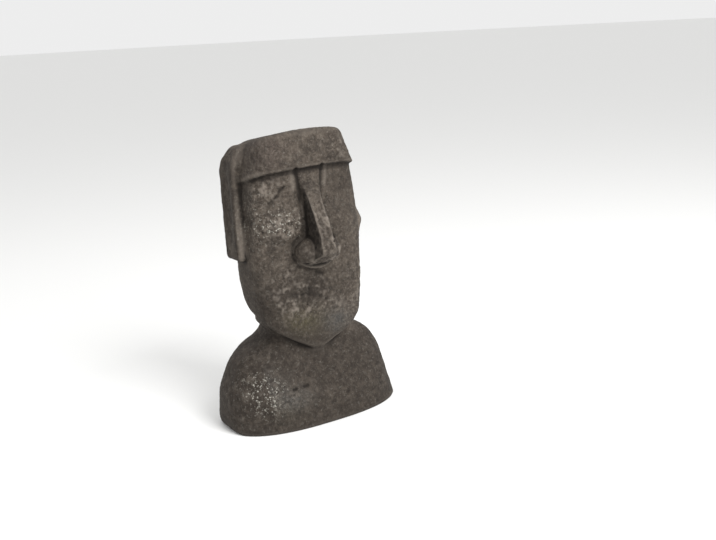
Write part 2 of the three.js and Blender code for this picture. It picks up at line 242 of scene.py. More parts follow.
# %% Forehead and ears as distances
def brow_line(x, y):
    """Height of the forehead's lower edge: it drops towards the temples and falls away behind them."""
    arch = BROW.height + BROW.tilt * x - BROW.drop * np.abs(x / BROW.span) ** 3
    return arch - BROW.fall * np.maximum(y + BROW.front, 0)


def forehead(x, y, z):
    """A column a little prouder than the face, kept above the brow line."""
    width = profile(z, BAND_HALF_WIDTH)
    depths = profile(z, BAND_FRONT), profile(z, HEAD_BACK) + BAND_PROUD_BEHIND
    band = column(x, y, (width, width), depths, BAND_SQUARENESS)
    return trim(band, brow_line(x, y) - z, FILLET.brow)


def ear(x, y, z):
    """A rounded slab that splays outwards and forwards to its lobe, hollowed along its side."""
    knob = np.where(x > 0, KNOB.rise * np.exp(-((z - KNOB.height) / KNOB.spread) ** 2), 0)
    outer = EAR_OUTER.top + EAR_OUTER.splay * falling(z, EAR_OUTER.end, EAR_OUTER.over) + knob
    middle = EAR_FORWARD.top - EAR_FORWARD.swing * falling(z, EAR_FORWARD.end, EAR_FORWARD.over)
    ax = np.abs(x)
    slab = rounded_box(ax - outer + EAR.half[0], y - middle, z - EAR.middle, EAR.half, EAR.round)
    inset = EAR_HOLLOW.inset
    hollow = ellipsoid(ax - outer - inset, y - middle - inset, z - EAR_HOLLOW.middle, *EAR_HOLLOW.half)
    return trim(slab, -hollow, FILLET.ear_hollow)


# %% Nose and mouth as distances
def nose(x, y, z):
    """A plank between two leaning walls and a ridge line, with a round wing on each side."""
    ax = np.abs(x)
    ridge = profile(z, NOSE_RIDGE)
    root = profile(z, NOSE_ROOT_HALF_WIDTH)
    reach = np.maximum(ridge, NOSE.base + NOSE.least) - NOSE.base
    out = np.clip((-y - NOSE.base) / reach, 0, 1)
    wall = ax - (root + (profile(z, NOSE_RIDGE_HALF_WIDTH) - root) * out)
    underside = NOSE_UNDERSIDE.height + NOSE_UNDERSIDE.slope * np.maximum(-y - NOSE_UNDERSIDE.front, 0)
    plank = trim(wall * NOSE.wall_lean, -y - ridge, FILLET.nose_edge)
    plank = trim(plank, (underside - z) * NOSE.underside_lean, FILLET.nose_edge)
    plank = trim(plank, z - BROW.height - NOSE.top, FILLET.nose_root)
    plank = trim(plank, y + NOSE.buried, FILLET.nose_root)
    wing = trim(lump(ax, y, z, *WING), WING_UNDERSIDE - z, FILLET.nose_root)
    return join(plank, wing, FILLET.wing)


def lips(x, y, z):
    """A narrow sill under the nose, curled up at its ends, and a low swelling that holds the mouth."""
    sill_height = z - SILL.height - SILL.curl * x * x
    sill = rounded_box(x, y + SILL.forward, sill_height, SILL.half, SILL.round)
    return np.minimum(sill, lump(x, y, z, *LIPS))


# %% The whole casting as one distance
def casting(x, y, z):
    """All the masses joined, with a domed crown and cut-off upper corners."""
    head = join(skull(x, y, z), forehead(x, y, z), FILLET.band)
    ear_fillet = EAR_BLEND.low + EAR_BLEND.more * rising(z, EAR_BLEND.start, EAR_BLEND.over)
    head = join(head, ear(x, y, z), ear_fillet)
    crown = (CROWN.top + CROWN.tilt * x - CROWN.dome * (x / CROWN.span) ** 2
             - CROWN.slope * (y + profile(z, HEAD_FRONT)))
    head = trim(head, z - crown, FILLET.crown)
    corner = CROWN_SHOULDER.across * np.abs(x) + CROWN_SHOULDER.up * z - CROWN_SHOULDER.reach
    head = trim(head, corner, FILLET.crown_shoulder)
    head = join(head, nose(x, y, z), FILLET.nose)
    head = join(head, lips(x, y, z), FILLET.mouth)
    return join(chest(x, y, z), head, FILLET.neck)


def standing(x, y, z):
    """The casting with its underside cut flat and that edge rounded."""
    return trim(casting(x, y, z), -z, FOOT_ROUND)


# %% [markdown]
# ## The nostrils
# They are the only deep cuts: a short rod pressed in below each wing. Shallower lines come later,
# as relief.

# %% Nostrils
def carved(x, y, z):
    """The standing form less two rods whose axes lie close to the skin."""
    nostril = rod(np.abs(x), y, z, NOSTRIL.inner, NOSTRIL.outer, NOSTRIL.radius)
    return trim(standing(x, y, z), -nostril, FILLET.nostril)


# %% [markdown]
# ## A skin of rows and columns
# The surface is a closed grid like a globe: rows run from the crown to the foot, columns run round
# the body. Cylinder coordinates alone would tear under the chin and the nose, so the grid is cast
# onto the form once, then evened out along it and settled back onto it, again and again. It starts
# coarse, where this costs little, and is then doubled twice.

# %% Casting, evening out and doubling the grid
COLUMNS, ROWS = 84, 72
CROWN_ROWS, CHEST_ROWS = 13, 15
CROWN_CENTRE = 325
STEP = 0.4
SETTLE = Sizes(turns=2, least_slope=0.05, longest=4)
RAY = Sizes(start=220.0, turns=70, caution=0.6)
FRONT_CROWDING, FACE_CROWDING, NOSE_CROWDING = 0.42, 0.9, 1.1
PULL = 0.7
COARSE_STEPS, MIDDLE_STEPS, FINE_STEPS = 110, 14, 5


def settle(grid, distance, flat=False):
    """Moves every point down the slope of the distance, by distance over slope, on to the skin."""
    for _ in range(SETTLE.turns):
        x, y, z = np.moveaxis(grid, -1, 0)
        here = distance(x, y, z)
        slope = np.stack([distance(x + STEP, y, z) - here, distance(x, y + STEP, z) - here,
                          np.zeros_like(here) if flat else distance(x, y, z + STEP) - here], -1) / STEP
        steep = np.maximum((slope**2).sum(-1), SETTLE.least_slope)
        grid = grid - slope * np.clip(here / steep, -SETTLE.longest, SETTLE.longest)[..., None]
    return grid


def foot_line(x, y, z):
    """Zero where the flat underside meets its rounded edge."""
    return casting(x, y, 0 * z) + FOOT_ROUND


def cast_in(origin, direction):
    """Walks each ray inwards from outside by a share of its distance until it meets the form."""
    reach = np.full(origin.shape[:-1], RAY.start)
    for _ in range(RAY.turns):
        point = origin + direction * reach[..., None]
        reach = reach - RAY.caution * standing(*np.moveaxis(point, -1, 0))
    return origin + direction * reach[..., None]


def first_grid():
    """Rays from an upright spine: level below the crown's centre, and fanning up to the top above it."""
    row = np.arange(ROWS)[:, None]
    even = 2 * np.pi * np.arange(COLUMNS)[None, :] / COLUMNS
    turn = even - FRONT_CROWDING * np.sin(even) + 0 * row
    tilt = np.pi / 2 * np.maximum(1 - row / CROWN_ROWS, 0) + 0 * even
    foot = ROWS - 1
    throat = foot - CHEST_ROWS
    down = np.clip((row - CROWN_ROWS) / (throat - CROWN_ROWS), 0, 1)
    upper = CROWN_CENTRE + (CHIN.height - CROWN_CENTRE) * down
    lower = CHIN.height * (foot - row) / CHEST_ROWS
    height = np.where(row > throat, lower, upper) + 0 * even
    origin = np.stack([0 * height, 0 * height, height], -1)
    direction = np.stack([np.sin(turn) * np.cos(tilt), -np.cos(turn) * np.cos(tilt), np.sin(tilt)], -1)
    return cast_in(origin, direction)


def crowding(grid):
    """How closely points crowd together: most on the nose, more on the face than on chest and back."""
    _, y, z = np.moveaxis(grid, -1, 0)
    face = rising(-y, 20, 30) * rising(z, 80, 40) * falling(z, 395, 25)
    tip = rising(-y, 48, 25) * rising(z, 180, 30)
    return 1 + FACE_CROWDING * face + NOSE_CROWDING * tip


def even_out(grid, distance, steps):
    """Draws each point towards the weighted mean of its four neighbours, then settles it again."""
    for _ in range(steps):
        weight = crowding(grid)[..., None]
        total = np.zeros_like(weight)
        mean = np.zeros_like(grid)
        for side in (1, -1):
            pull = weight + np.roll(weight, side, 1)
            total += pull
            mean += pull * np.roll(grid, side, 1)
        foot = mean[-1] / total[-1]
        pull = weight[1:] + weight[:-1]
        total[1:] += pull
        mean[1:] += pull * grid[:-1]
        total[:-1] += pull
        mean[:-1] += pull * grid[1:]
        crown = grid[0].copy()
        grid = grid + PULL * (mean / total - grid)
        grid[0] = crown
        grid[-1] = foot
        grid[-1, :, 2] = 0
        grid = settle(grid, distance)
        grid[-1, :, 2] = 0
        grid[-1] = settle(grid[-1], foot_line, flat=True)
    return grid


def doubled(grid):
    """A row between each two rows and a column between each two columns, halfway."""
    rows = np.empty((2 * grid.shape[0] - 1,) + grid.shape[1:])
    rows[::2] = grid
    rows[1::2] = (grid[:-1] + grid[1:]) / 2
    both = np.empty((rows.shape[0], 2 * rows.shape[1], 3))
    both[:, ::2] = rows
    both[:, 1::2] = (rows + np.roll(rows, -1, 1)) / 2
    return both


skin = even_out(first_grid(), standing, COARSE_STEPS)
skin = even_out(doubled(skin), standing, MIDDLE_STEPS)
skin = even_out(doubled(skin), carved, FINE_STEPS)
print("skin rows and columns:", skin.shape[:2])

# %% [markdown]
# ## Hollows and edges
# Where the stone is hollow or sharp decides where wash gathers and where corners wear. Both are
# read from the distance itself: step out along the normal and see how much less room there is
# than the step, or step in and see how much less stone there is.

# %% Normals, hollows and edges at every point
HOLLOW_STEPS = (3, 0.55), (7, 0.3), (16, 0.15)
EDGE_STEP = 5


def slope_of(grid, distance):
    """Unit normals: the direction in which the distance grows fastest."""
    x, y, z = np.moveaxis(grid, -1, 0)
    here = distance(x, y, z)
    slope = np.stack([distance(x + STEP, y, z) - here, distance(x, y + STEP, z) - here,
                      distance(x, y, z + STEP) - here], -1)
    return slope / np.linalg.norm(slope, axis=-1, keepdims=True)


def room_lost(grid, normal, step):
    """Share of a step along the normal that other stone takes away: 0 on a flat, near 1 in a slot."""
    x, y, z = np.moveaxis(grid + normal * step, -1, 0)
    return np.clip((step - carved(x, y, z)) / step, 0, 1)


def stone_lost(grid, normal, step):
    """Share of a step into the stone that comes out again: 0 on a flat, more on a sharp edge."""
    x, y, z = np.moveaxis(grid - normal * step, -1, 0)
    return np.clip((step + carved(x, y, z)) / step, 0, 1)


normal = slope_of(skin, carved)
hollow = sum(share * room_lost(skin, normal, step) for step, share in HOLLOW_STEPS)
edge = stone_lost(skin, normal, EDGE_STEP)
print("hollow up to %.2f, edge up to %.2f" % (hollow.max(), edge.max()))

# %% [markdown]
# ## The broken surface
# Lava stone is full of gas pits, and a coarse mix leaves lumps. Both are made as displacement, so
# that the light catches real relief. Noise here is a lattice of seeded random numbers, blended
# smoothly between its points, and a pit is a dish around a random point in each cell of a grid.

# %% Noise, pits, spots and strokes
LATTICE = 32
SEED_SHIFT = 0.37
PIT_CENTRES = 0.15, 0.85
PIT_RADII = 0.18, 0.42
FAR_OFF = 1e9


def noise(grid, size, seed):
    """Random numbers from -1 to 1 on a lattice of the given size, eased together in three directions."""
    table = np.random.default_rng(seed).uniform(-1, 1, (LATTICE, LATTICE, LATTICE))
    place = grid / size + seed * SEED_SHIFT
    low = np.floor(place).astype(int)
    t = ease(place - low)
    total = 0
    for corner in np.ndindex(2, 2, 2):
        share = np.prod([t[..., n] if c else 1 - t[..., n] for n, c in enumerate(corner)], axis=0)
        i, j, k = ((low[..., n] + c) % LATTICE for n, c in enumerate(corner))
        total = total + share * table[i, j, k]
    return total


def pits(grid, cell, share, seed):
    """Depth 0 to 1 of dishes: in each cell a random centre and radius, and (1 - (d/r)^2)^2 about it."""
    rng = np.random.default_rng(seed)
    centre = rng.uniform(*PIT_CENTRES, (LATTICE, LATTICE, LATTICE, 3))
    radius = rng.uniform(*PIT_RADII, (LATTICE, LATTICE, LATTICE))
    lot = rng.uniform(0, 1, (LATTICE, LATTICE, LATTICE))
    place = grid / cell + seed * SEED_SHIFT
    low = np.floor(place).astype(int)
    deepest = np.zeros(grid.shape[:-1])
    for shift in np.ndindex(3, 3, 3):
        corner = low + np.array(shift) - 1
        i, j, k = (corner[..., n] % LATTICE for n in range(3))
        away = np.linalg.norm(place - corner - centre[i, j, k], axis=-1) / radius[i, j, k]
        dish = np.maximum(1 - away**2, 0) ** 2 * radius[i, j, k] / PIT_RADII[1]
        deepest = np.maximum(deepest, np.where(lot[i, j, k] < share, dish, 0))
    return deepest


def spot(grid, centre, reach):
    """1 at a centre, falling off with distance as a bell of the given reach along x, y and z."""
    return np.exp(-(((grid - np.array(centre)) / np.array(reach)) ** 2).sum(-1))


def stroke(grid, path, width):
    """1 along a path of (x, z) points drawn on the front, falling off as a bell of the given width."""
    x, y, z = np.moveaxis(grid, -1, 0)
    nearest = np.full(x.shape, FAR_OFF)
    for (x0, z0), (x1, z1) in zip(path[:-1], path[1:]):
        dx, dz = x1 - x0, z1 - z0
        t = np.clip(((x - x0) * dx + (z - z0) * dz) / (dx * dx + dz * dz), 0, 1)
        nearest = np.minimum(nearest, (x - x0 - t * dx) ** 2 + (z - z0 - t * dz) ** 2)
    return np.exp(-nearest / width**2) * (y < 0)


def summed(made, grid, table):
    """Several noises, spots or strokes added up: each row gives a share and then what makes it."""
    return sum(share * made(grid, *row) for share, *row in table)


# %% [markdown]
# ## Where the stone is rough
# The cheek, the eye, the muzzle and the breast on the statue's right side are coarse and pitted.
# The left side of the face was rubbed smooth, and so was the far side of the chest. Each place is
# one to three spots, given as a share, a centre and a reach.

# %% Rough places
ROUGH_PLACES = {
    "cheek": [(1, (-44, -45, 281), (27, 30, 17)), (0.35, (-82, -30, 292), (18, 30, 30))],
    "eye": [(1, (-60, -40, 332), (26, 30, 16))],
    "bridge": [(1, (4, -78, 272), (14, 34, 34)), (0.9, (14, -70, 240), (16, 30, 16))],
    "muzzle": [(1, (-46, -45, 190), (22, 30, 30)), (0.8, (2, -50, 194), (24, 30, 14)),
               (0.7, (-10, -45, 163), (50, 30, 14))],
    "temple": [(1, (50, -50, 376), (14, 30, 14)), (0.5, (-66, -40, 380), (20, 30, 20))],
    "breast": [(1, (-98, -30, 62), (34, 50, 40)), (0.7, (2, -60, 62), (14, 30, 14))],
    "jaw": [(1, (72, -40, 172), (22, 40, 46))],
}
ROUGHNESS = {"cheek": 0.95, "eye": 0.7, "bridge": 0.7, "muzzle": 0.75, "temple": 0.6, "breast": 0.85,
             "jaw": 0.5}
LEAST_ROUGH, WING_ROUGH = 0.28, 0.4

places = {name: summed(spot, skin, table) for name, table in ROUGH_PLACES.items()}
both_sides = np.stack([-np.abs(skin[..., 0]), skin[..., 1], skin[..., 2]], -1)
wings = spot(both_sides, (-20, -68, 243), (16, 20, 18))
rough = LEAST_ROUGH + WING_ROUGH * wings
for name, share in ROUGHNESS.items():
    rough = rough + share * places[name]
rough = np.clip(rough, 0, 1)
print("rough: mean %.2f" % rough.mean())

# %% [markdown]
# ## Lines drawn in the wet cast
# The eyelid, the mouth and the folds are shallow grooves, drawn on the front as paths of (x, z)
# points with a width. A hand presses unevenly, so the eyelid and the mouth fade in and out.

# %% Drawn lines
DRAWN = {
    "eyelid": [(1, [(-60, 312), (-47, 321), (-37, 331)], 2.2)],
    "eye_pit": [(1, [(-45, 327), (-40, 330)], 2.4)],
    "mouth_line": [(1, [(-46, 181), (-39, 187), (-14, 184)], 2.8), (0.5, [(-14, 184), (36, 185)], 3.0)],
    "philtrum": [(1, [(1, 211), (10, 208)], 3.4)],
    "cheek_fold": [(1, [(-84, 292), (-70, 274), (-52, 262), (-26, 258)], 5.5)],
    "gouges": [(1, [(-53.5, 57.4), (-49, 57.9)], 1.6), (1, [(-37.5, 58.7), (-31.5, 59.5)], 1.6)],
}
FOLD = [(1, [(-64, 322), (-50, 331), (-42, 338)], 4.5), (0.6, [(-52, 308), (-38, 320)], 4.0)]
GUTTER = [(-20, 354), (-17.5, 330), (-15.5, 300)], 2.6
LIT_GUTTER_LIP = [(-27, 352), (-24, 328)], 2.6
CUT_DEPTH = {"eyelid": 1.5, "eye_pit": 1.3, "mouth_line": 0.8, "philtrum": 1.5, "cheek_fold": 0.7,
             "gouges": 2.0, "gutter": 2.4}

drawn = {name: summed(stroke, skin, table) for name, table in DRAWN.items()}
patchy = np.clip(0.65 + 0.9 * noise(skin, 6, 10), 0, 1.3)
drawn["eyelid"] *= patchy
drawn["mouth_line"] *= patchy
drawn["gutter"] = stroke(both_sides, *GUTTER) * rising(skin[..., 2], 300, 18)
fold = summed(stroke, skin, FOLD)
# The lip beside each nose gutter: a low ridge in the relief and a painted highlight in the rubbing.
lit_gutter_lip = stroke(both_sides, *LIT_GUTTER_LIP)
lines = sum(depth * drawn[name] for name, depth in CUT_DEPTH.items())
print("deepest line %.2f mm" % lines.max())

# %% [markdown]
# ## The relief
# The relief adds up, in millimetres along the normal: the slow waviness of handwork, lumps and
# grain where the stone is rough, less pits, nicks on the edges and the drawn lines. It fades out
# at the foot, which stays flat.

# %% The relief in millimetres
HAND = (0.8, 58, 1), (0.5, 24, 2)
LUMPS = (0.5, 8.5, 3), (0.75, 4.4, 4)

hand = summed(noise, skin, HAND)
fine = rough * summed(noise, skin, LUMPS) + (0.12 + 0.42 * rough) * noise(skin, 2.7, 5)
large_pits = pits(skin, cell=7.0, share=0.45, seed=6)
small_pits = pits(skin, cell=4.2, share=0.5, seed=7)
pocks = (0.25 + 0.75 * rough) * np.maximum(large_pits, 0.7 * small_pits)
nicks = rising(edge, 0.10, 0.25) * rising(noise(skin, 13, 8), 0.15, 0.5)
relief = hand + fine + 0.8 * fold + 0.6 * lit_gutter_lip - 1.4 * pocks - 1.2 * nicks - lines
off_foot = rising(skin[..., 2], 0.2, 5)
dressed = skin + normal * (relief * off_foot)[..., None]
dressed[..., 2] = np.maximum(dressed[..., 2], 0)
print("relief from %.2f to %.2f mm" % (relief.min(), relief.max()))

# %% [markdown]
# ## Wash, rubbing, tints and painted light
# The maker brushes a dark wash over the cast and wipes it. It stays in hollows, pits and drawn lines. The
# same dark is also painted as shade on the steep sides of the nose, in the seams and recesses by the ears,
# under the forehead band and under the jaw. The rag rubs lumps and edges pale, and the ears' front rims and
# the ridges beside the nose's gutters get a painted highlight.

# %% Places beside the nose, the ears, the mouth and the brow
x, y, z = np.moveaxis(skin, -1, 0)
ax = np.abs(x)
side = np.abs(normal[..., 0])
# Painted shade on the steep sides of the nose, which turn from the light, a little less of it on the wings.
nose_side_shade = rising(side, 0.45, 0.4) * rising(-y, 46, 5) * falling(ax, 24, 4) * falling(z, 352, 8)
nose_side_shade *= rising(z, 225, 4)
wing_side_shade = nose_side_shade * falling(z, 262, 8)
beside = ear(x, y, z)
# Painted shade in the seam between each ear and the head.
ear_seam_shade = falling(np.maximum(beside, skull(x, y, z)), 2.6, 2.4) * falling(z, 352, 20) * falling(y, 12, 6)
# Painted highlight on the ears' front rims, which face the light, more on their lower part.
lit_ear_rim = ((0.4 + 0.6 * falling(z, 330, 60)) * rising(-normal[..., 1], 0.5, 0.3)
           * falling(beside, 3, 2) * rising(ax, 84, 3))
# Painted shade on the side of the head in the recess in front of each ear.
by_ear_shade = rising(side, 0.75, 0.2) * rising(y, -36, 14) * falling(y, 8, 6) * falling(ax, 90, 3)
by_ear_shade *= rising(z, 258, 40) * falling(z, 356, 30)
# Broken dark patches about the mouth.
mouth_dark_patches = spot(skin, (-16, -47, 187), (36, 30, 13)) * rising(noise(skin, 4.5, 12), -0.4, 0.5)
high_slot = rising(z, 338, 14) * rising(ax, 66, 6)
by_nose = spot(skin, (-24, -46, 280), (14, 14, 60))
# Painted shadow in a strip under the forehead band.
brow_drop = brow_line(x, y) - z
under_brow_shadow = rising(brow_drop, -1.5, 2) * falling(brow_drop, 9, 5) * rising(-y, 20, 10)
# Darker towards the foot.
foot_darkening = falling(z, 8, 6)
# Painted shadow under the jaw, where the head meets the chest.
under_jaw_shadow = falling(np.maximum(skull(x, y, z), chest(x, y, z)), 6, 4)
under_jaw_shadow = under_jaw_shadow * spot(skin, (-34, -36, 112), (54, 50, 30))

# %% Where the wash stays, and where shade is painted with it
LINE_WASH = {"eyelid": 1, "eye_pit": 1, "mouth_line": 0.6, "philtrum": 1, "cheek_fold": 0.3,
             "gouges": 1.6, "gutter": 1.2}

in_lines = sum(share * drawn[name] for name, share in LINE_WASH.items())
wash_and_shade = 0.95 * rising(hollow, 0.14, 0.36) * (1 - 0.7 * high_slot) * (1 - 0.6 * by_nose)
# Painted shade on the sides of the nose and by the ears, and dark patches about the mouth.
wash_and_shade += ((0.74 + 0.3 * noise(skin, 3.6, 14)) * nose_side_shade - 0.12 * wing_side_shade + 0.5 * mouth_dark_patches
         + 0.3 * by_ear_shade + 0.8 * ear_seam_shade)
# Painted shadow under the forehead band and under the jaw, darker towards the foot, and wash in drawn lines
# and pits.
wash_and_shade += (0.66 * under_brow_shadow + 0.45 * foot_darkening + 0.62 * under_jaw_shadow + 0.8 * np.clip(in_lines, 0, 1)
         + 0.9 * pocks)
print("wash covers %.0f%%" % (100 * (np.clip(wash_and_shade, 0, 1) > 0.5).mean()))

# %% Where shade is painted as darker paste
# Painted shade on the chest below the neck, except on the part where the light falls.
UNSHADED_CHEST = (0.85, (-92, -40, 52), (46, 60, 48)), (0.45, (-46, -60, 44), (30, 40, 18))
# Painted shade on the neck under the head, the muzzle, the far eye under the brow, and the jaw and temple
# turned from the light.
SHADED = {
    "neck": [(0.95, (-56, -16, 120), (48, 50, 30))],
    "muzzle": [(0.95, (-12, -45, 190), (50, 30, 20)), (0.4, (-14, -45, 128), (60, 40, 26))],
    "far_eye": [(0.8, (56, -40, 330), (36, 40, 30)), (0.35, (56, -40, 376), (26, 40, 20))],
    "jaw": [(0.95, (-76, -30, 166), (26, 40, 46)), (0.5, (-70, -30, 372), (24, 30, 26))],
}

shade = 0.95 * falling(z, 128, 34) * (1 - np.clip(summed(spot, skin, UNSHADED_CHEST), 0, 1))
for table in SHADED.values():
    shade = shade + summed(spot, skin, table)
# Painted shade on the ears' outer sides, but not on their lit front rims, and on the nose's wings and
# bridge.
ear_shade = 0.85 * rising(ax, 84, 4) * (1 - lit_ear_rim)
nose_shade = 0.85 * wings + 0.6 * spot(skin, (4, -78, 276), (20, 30, 22))
shade = shade + ear_shade + nose_shade
print("darker paste covers %.0f%%" % (100 * (shade > 0.5).mean()))

# %% All the finishes that a point carries
TINTED = {
    "ochre": [(1, (-30, -45, 140), (34, 40, 20)), (0.2, (-60, -60, 36), (34, 40, 22))],
    "blue": [(1, (26, -45, 136), (22, 40, 20)), (0.7, (-92, -40, 80), (44, 60, 44)),
             (0.8, (-50, -60, 42), (34, 40, 16))],
    "plum": [(1, (-62, -40, 380), (26, 40, 26)), (0.5, (10, -50, 84), (60, 40, 26))],
}

coarse_lumps = (rough - 0.5 * mouth_dark_patches - 0.85 * places["breast"]) * rising(fine, -0.1, 0.9)
finishes = {
    "wash_and_shade": np.clip(wash_and_shade, 0, 1),
    "shade": np.clip(shade, 0, 1),
    # Rubbed lumps and edges, with painted highlights on the ears' front rims and the lips beside the nose's
    # gutters.
    "rubbed_and_highlight": np.clip(coarse_lumps + 0.4 * rising(edge, 0.06, 0.3) + 0.5 * lit_ear_rim
                      + 0.5 * lit_gutter_lip, 0, 1),
    "coarse": rough,
    "speckled": np.clip(spot(skin, (-91, -40, 56), (21, 40, 23)) + 0.9 * places["cheek"], 0, 1),
}
for name, table in TINTED.items():
    finishes[name] = np.clip(summed(spot, skin, table), 0, 1)
print("finishes:", ", ".join(finishes))

# %% [markdown]
# ## From grid to mesh
# The dressed skin is brought into the solid's own box, so that it stands exactly where the solid
# does. The crown and the foot are each closed by a fan about one point.

# %% The mesh and its marks
STRETCH = (np.array(HIGH) - np.array(LOW)) / (dressed.max((0, 1)) - dressed.min((0, 1)))
MOULD_CORNER = dressed.min((0, 1))


def in_solid(points):
    """Mould millimetres to the frame's metres: from the mould's corner, stretched, to the box's corner."""
    return np.array(LOW) + (points - MOULD_CORNER) * STRETCH


def with_poles(values):
    """The rows below the crown as one list, with the mean of the first row before and of the last after."""
    rows = values[1:]
    flat = rows.reshape(-1, *rows.shape[2:])
    return np.concatenate([rows[:1].mean(1), flat, rows[-1:].mean(1)])


def closed_faces(rows, columns):
    """Quads between neighbouring rows, a fan of triangles about the crown and one about the foot."""
    row, col = np.meshgrid(np.arange(rows - 1), np.arange(columns), indexing="ij")
    nxt = (col + 1) % columns
    at = 1 + row * columns
    quads = np.stack([at + col, at + columns + col, at + columns + nxt, at + nxt], -1).reshape(-1, 4)
    ring = np.arange(columns)
    after = (ring + 1) % columns
    last = 1 + (rows - 1) * columns
    top = np.stack([0 * ring, 1 + ring, 1 + after], -1)
    bottom = np.stack([last + ring, 0 * ring + last + columns, last + after], -1)
    return quads.tolist() + top.tolist() + bottom.tolist()


mesh = bpy.data.meshes.new("moai_skin")
mesh.from_pydata(with_poles(in_solid(dressed)), [], closed_faces(dressed.shape[0] - 1, dressed.shape[1]))
mesh.polygons.foreach_set("use_smooth", np.ones(len(mesh.polygons), bool))
for name, values in finishes.items():
    mark = mesh.attributes.new(name, "FLOAT", "POINT")
    mark.data.foreach_set("value", with_poles(values).astype(np.float32))
bust = bpy.data.objects.new("moai_skin", mesh)
bpy.context.scene.collection.objects.link(bust)
print("bust: %d points, %d faces" % (len(mesh.vertices), len(mesh.polygons)))

# %% [markdown]
# ## The finish of cast lava stone
# Close up the stone is a grey-brown paste with darker and paler grains. From further off it is mottled, a
# little ochre here and blue-grey there, with darker paste painted as shade on the chest, the neck, the
# muzzle and the sides turned from the light, paler where lumps and edges are rubbed and where highlights
# are painted, and darkest where wash lies in hollows and pits and where shade and shadow are painted with
# it. The colours are mixed in that order, and a fine bump adds the grain that is too small to model.

# %% A few short helpers for node trees
def node(tree, kind, **values):
    """Adds a node, setting its own properties by name and its sockets by their labels."""
    made = tree.nodes.new(kind)
    for name, value in values.items():
        if hasattr(made, name):
            setattr(made, name, value)
        else:
            made.inputs[name.replace("_", " ")].default_value = value
    return made


def spread(tree, value, start, end):
    """Maps a number that goes from start to end, either way, to 0..1, clipped."""
    ranged = node(tree, "ShaderNodeMapRange", From_Min=start, From_Max=end)
    tree.links.new(value, ranged.inputs["Value"])
    return ranged.outputs["Result"]


def scaled(tree, value, amount):
    """A number times an amount."""
    made = node(tree, "ShaderNodeMath", operation="MULTIPLY")
    made.inputs[1].default_value = amount
    tree.links.new(value, made.inputs[0])
    return made.outputs[0]


def product(tree, first, second):
    """Two numbers multiplied."""
    made = node(tree, "ShaderNodeMath", operation="MULTIPLY")
    tree.links.new(first, made.inputs[0])
    tree.links.new(second, made.inputs[1])
    return made.outputs[0]


def blended(tree, share, under, over):
    """One colour laid over another by a share: either may be a colour or a socket."""
    mix = node(tree, "ShaderNodeMix", data_type="RGBA", clamp_factor=True)
    for socket, value in ((mix.inputs["Factor"], share), (mix.inputs[6], under), (mix.inputs[7], over)):
        if isinstance(value, bpy.types.NodeSocket):
            tree.links.new(value, socket)
        else:
            socket.default_value = value
    return mix.outputs[2]


def read_mark(tree, name):
    """The number that a point of the mesh carries under this name."""
    return node(tree, "ShaderNodeAttribute", attribute_name=name).outputs["Fac"]


def cloud(tree, where, scale, detail=3.0, roughness=0.55):
    """Smooth noise of so many features per metre."""
    made = node(tree, "ShaderNodeTexNoise", Scale=scale, Detail=detail, Roughness=roughness)
    tree.links.new(where, made.inputs["Vector"])
    return made.outputs["Fac"]

# %% The stone itself
PASTE = (0.0535, 0.042, 0.0325, 1)
PALE_PASTE = (0.098, 0.08, 0.063, 1)
DARK_PASTE_AND_SHADE = (0.026, 0.0198, 0.0152, 1)
OCHRE = (0.074, 0.065, 0.03, 1)
BLUE_GREY = (0.056, 0.058, 0.057, 1)
PLUM = (0.052, 0.037, 0.033, 1)
WASH_AND_SHADE_COLOUR = (0.0075, 0.005, 0.0032, 1)
RUBBED_AND_HIGHLIGHT = (0.176, 0.15, 0.126, 1)
PALE_GRAIN = (0.5, 0.48, 0.42, 1)
TINTS = ("ochre", OCHRE, 0.95), ("blue", BLUE_GREY, 0.8), ("plum", PLUM, 0.6)


def mottled_paste(tree, where):
    """Paste with darker and paler clouds, tinted by its marks and darkened where they paint shade, then
    mottled more finely.
    """
    broad = spread(tree, cloud(tree, where, 36, detail=4.0), start=0.38, end=0.58)
    colour = blended(tree, broad, DARK_PASTE_AND_SHADE, PASTE)
    pale = spread(tree, cloud(tree, where, 85, detail=5.0), start=0.45, end=0.75)
    colour = blended(tree, pale, colour, PALE_PASTE)
    for mark, tint, amount in TINTS:
        colour = blended(tree, scaled(tree, read_mark(tree, mark), amount), colour, tint)
    # Painted shade: darker paste where the shade mark lies.
    colour = blended(tree, read_mark(tree, "shade"), colour, DARK_PASTE_AND_SHADE)
    flecks = cloud(tree, where, 110, detail=6.0, roughness=0.75)
    colour = blended(tree, spread(tree, flecks, start=0.44, end=0.95), colour, PALE_PASTE)
    stains = cloud(tree, where, 150, detail=5.0, roughness=0.8)
    return blended(tree, spread(tree, stains, start=0.52, end=0.20), colour, WASH_AND_SHADE_COLOUR)


